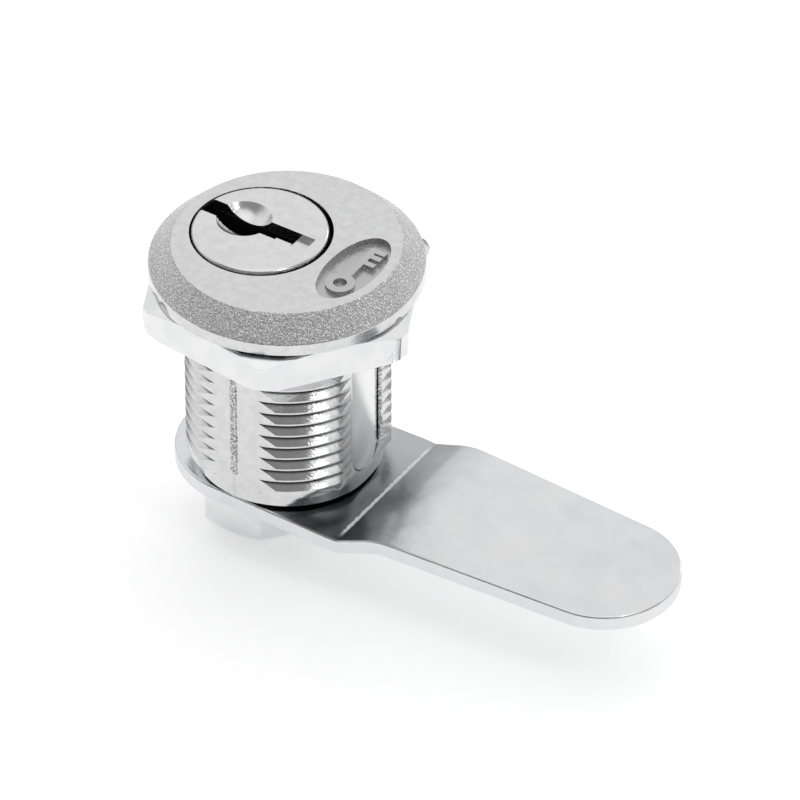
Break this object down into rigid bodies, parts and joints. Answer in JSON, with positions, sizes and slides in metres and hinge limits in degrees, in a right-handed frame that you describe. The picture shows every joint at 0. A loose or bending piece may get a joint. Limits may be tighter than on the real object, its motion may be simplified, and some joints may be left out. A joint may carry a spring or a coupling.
{
  "type": "cam lock",
  "caption": "Threaded round cam lock with an off-centre keyed plug, spring-loaded tumbler pins, a hexagonal panel nut and a joggled steel cam on the plug's tail.",
  "frame": {"origin": "on the threaded barrel's axis, in the plane of the head's underside, where the panel's front face sits", "axes": "+Z out through the head along the barrel; +X from the plug's axis towards the pin chambers, the way the cam points at rest; +Y completes a right-handed frame, along the keyway's short side"},
  "size_m": [0.0522, 0.0242, 0.0312],
  "materials": {
    "cast_plate": "plated die-cast, satin with fine casting grain",
    "plug_plate": "plated, satin",
    "nut_zinc": "bright zinc plate",
    "cover_polish": "polished",
    "cam_zinc": "blue-white zinc plate on rolled sheet",
    "washer_steel": "zinc plated spring steel",
    "pin_brass": "turned",
    "pin_steel": "turned, nickel plated",
    "spring_steel": "drawn wire"
  },
  "bodies": {
    "housing": {"housing": "cast_plate", "mounting_nut": "nut_zinc", "chamber_cover": "cover_polish", "pin_spring_1": "spring_steel", "pin_spring_2": "spring_steel", "pin_spring_3": "spring_steel", "pin_spring_4": "spring_steel", "pin_spring_5": "spring_steel"},
    "plug": {"plug": "plug_plate", "cam": "cam_zinc", "lock_washer": "washer_steel", "cam_nut": "nut_zinc"},
    "key_pin_1": {"key_pin_1": "pin_brass"},
    "driver_pin_1": {"driver_pin_1": "pin_steel"},
    "key_pin_2": {"key_pin_2": "pin_brass"},
    "driver_pin_2": {"driver_pin_2": "pin_steel"},
    "key_pin_3": {"key_pin_3": "pin_brass"},
    "driver_pin_3": {"driver_pin_3": "pin_steel"},
    "key_pin_4": {"key_pin_4": "pin_brass"},
    "driver_pin_4": {"driver_pin_4": "pin_steel"},
    "key_pin_5": {"key_pin_5": "pin_brass"},
    "driver_pin_5": {"driver_pin_5": "pin_steel"}
  },
  "joints": [
    {"name": "plug_turn", "type": "hinge", "parent": "housing", "child": "plug", "pos_m": [-0.00275, 0, 0], "axis": [0, 0, -1], "range_deg": [0, 90]},
    {"name": "key_pin_1_slide", "type": "slide", "parent": "plug", "child": "key_pin_1", "axis": [1, 0, 0], "range_m": [-0.00185, 0]},
    {"name": "key_pin_2_slide", "type": "slide", "parent": "plug", "child": "key_pin_2", "axis": [1, 0, 0], "range_m": [-0.00105, 0]},
    {"name": "key_pin_3_slide", "type": "slide", "parent": "plug", "child": "key_pin_3", "axis": [1, 0, 0], "range_m": [-0.00145, 0]},
    {"name": "key_pin_4_slide", "type": "slide", "parent": "plug", "child": "key_pin_4", "axis": [1, 0, 0], "range_m": [-0.00065, 0]},
    {"name": "key_pin_5_slide", "type": "slide", "parent": "plug", "child": "key_pin_5", "axis": [1, 0, 0], "range_m": [-0.00165, 0]},
    {"name": "driver_pin_1_slide", "type": "slide", "parent": "housing", "child": "driver_pin_1", "axis": [1, 0, 0], "range_m": [-0.00185, 0], "stiffness_N_per_m": 170, "springref_m": -0.0035},
    {"name": "driver_pin_2_slide", "type": "slide", "parent": "housing", "child": "driver_pin_2", "axis": [1, 0, 0], "range_m": [-0.00105, 0], "stiffness_N_per_m": 170, "springref_m": -0.0035},
    {"name": "driver_pin_3_slide", "type": "slide", "parent": "housing", "child": "driver_pin_3", "axis": [1, 0, 0], "range_m": [-0.00145, 0], "stiffness_N_per_m": 170, "springref_m": -0.0035},
    {"name": "driver_pin_4_slide", "type": "slide", "parent": "housing", "child": "driver_pin_4", "axis": [1, 0, 0], "range_m": [-0.00065, 0], "stiffness_N_per_m": 170, "springref_m": -0.0035},
    {"name": "driver_pin_5_slide", "type": "slide", "parent": "housing", "child": "driver_pin_5", "axis": [1, 0, 0], "range_m": [-0.00165, 0], "stiffness_N_per_m": 170, "springref_m": -0.0035}
  ],
  "couplings": [
    {"joint": "driver_pin_1_slide", "follows": "key_pin_1_slide", "ratio": 1},
    {"joint": "driver_pin_2_slide", "follows": "key_pin_2_slide", "ratio": 1},
    {"joint": "driver_pin_3_slide", "follows": "key_pin_3_slide", "ratio": 1},
    {"joint": "driver_pin_4_slide", "follows": "key_pin_4_slide", "ratio": 1},
    {"joint": "driver_pin_5_slide", "follows": "key_pin_5_slide", "ratio": 1}
  ]
}
